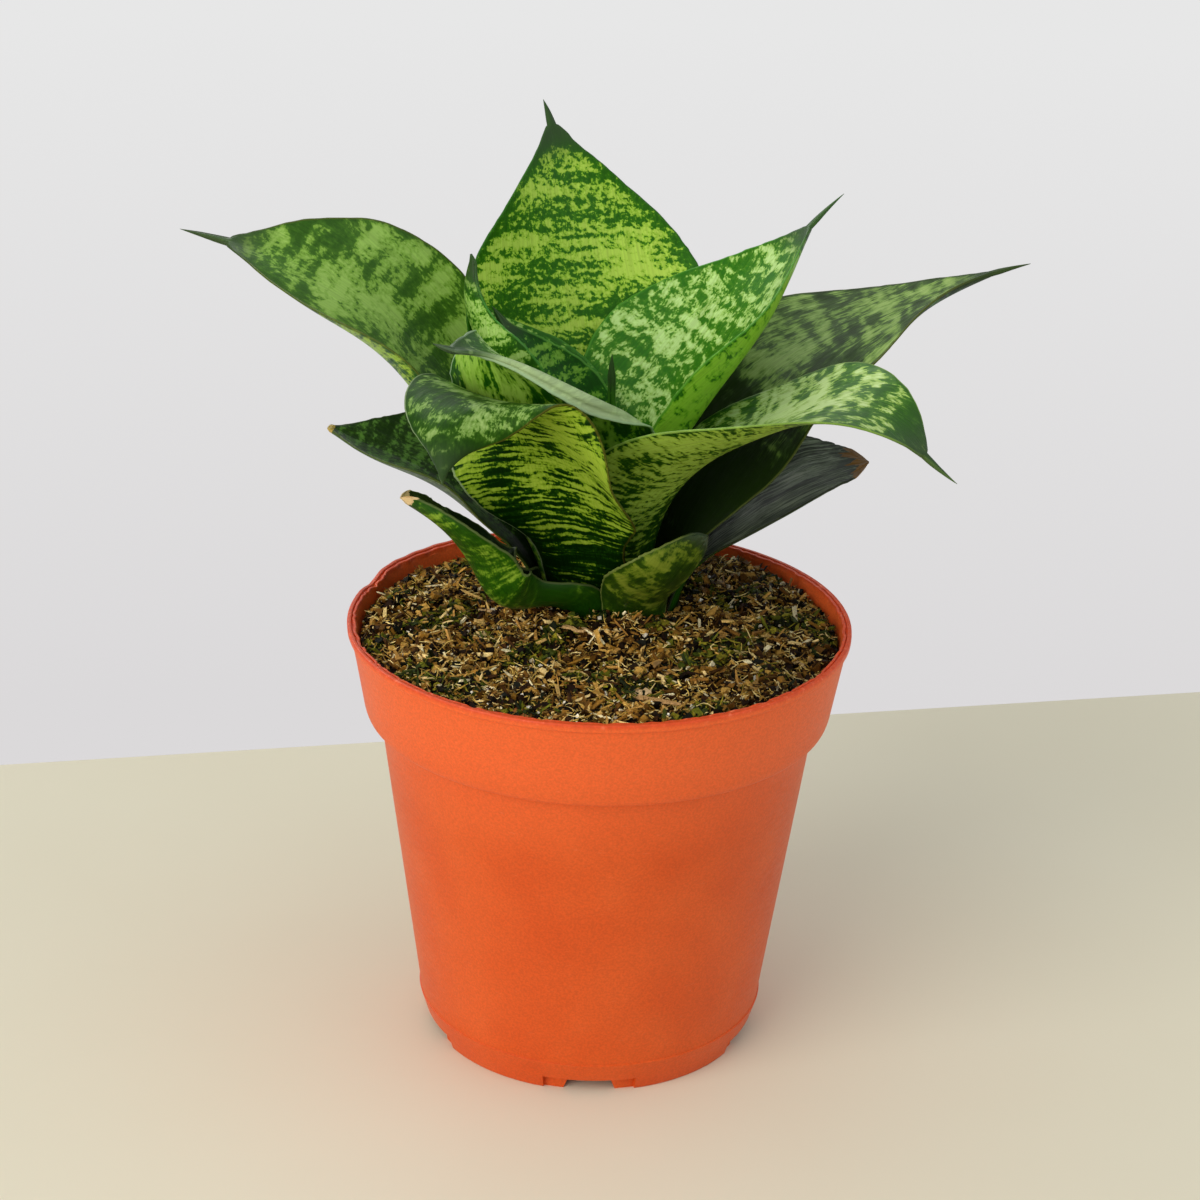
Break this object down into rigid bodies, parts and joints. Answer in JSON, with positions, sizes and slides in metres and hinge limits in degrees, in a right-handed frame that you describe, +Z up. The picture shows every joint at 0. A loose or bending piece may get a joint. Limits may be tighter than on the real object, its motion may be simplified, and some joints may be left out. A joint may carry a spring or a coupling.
{
  "type": "potted snake plant",
  "caption": "Low bird's nest snake plant, a rosette of broad mottled leaves with pointed tips, growing in bark-filled peat in a round plastic nursery pot.",
  "frame": {"origin": "middle of the pot's flat underside, on the surface that it stands on", "axes": "+Z up; -Y towards the plant's front, where one leaf is folded over; +X to the right as seen from the front"},
  "size_m": [0.1858, 0.1353, 0.1932],
  "materials": {
    "pot": "satin terracotta-coloured plastic",
    "soil": "loose peat and bark",
    "crown": "matt, fibrous",
    "leaf": "waxy, mottled green"
  },
  "bodies": {
    "root": {"pot": "pot", "soil": "soil", "crown": "crown", "leaf_spear": "leaf", "leaf_young_inner": "leaf", "leaf_young_left": "leaf", "leaf_right_pale": "leaf", "leaf_front_rolled": "leaf", "leaf_back_tall": "leaf", "leaf_right_arching": "leaf", "leaf_left_long": "leaf", "leaf_right_long": "leaf", "leaf_front_folded": "leaf", "leaf_left_low": "leaf", "leaf_back_low": "leaf", "leaf_right_low": "leaf", "leaf_front_cut": "leaf", "leaf_front_torn": "leaf"}
  },
  "joints": []
}
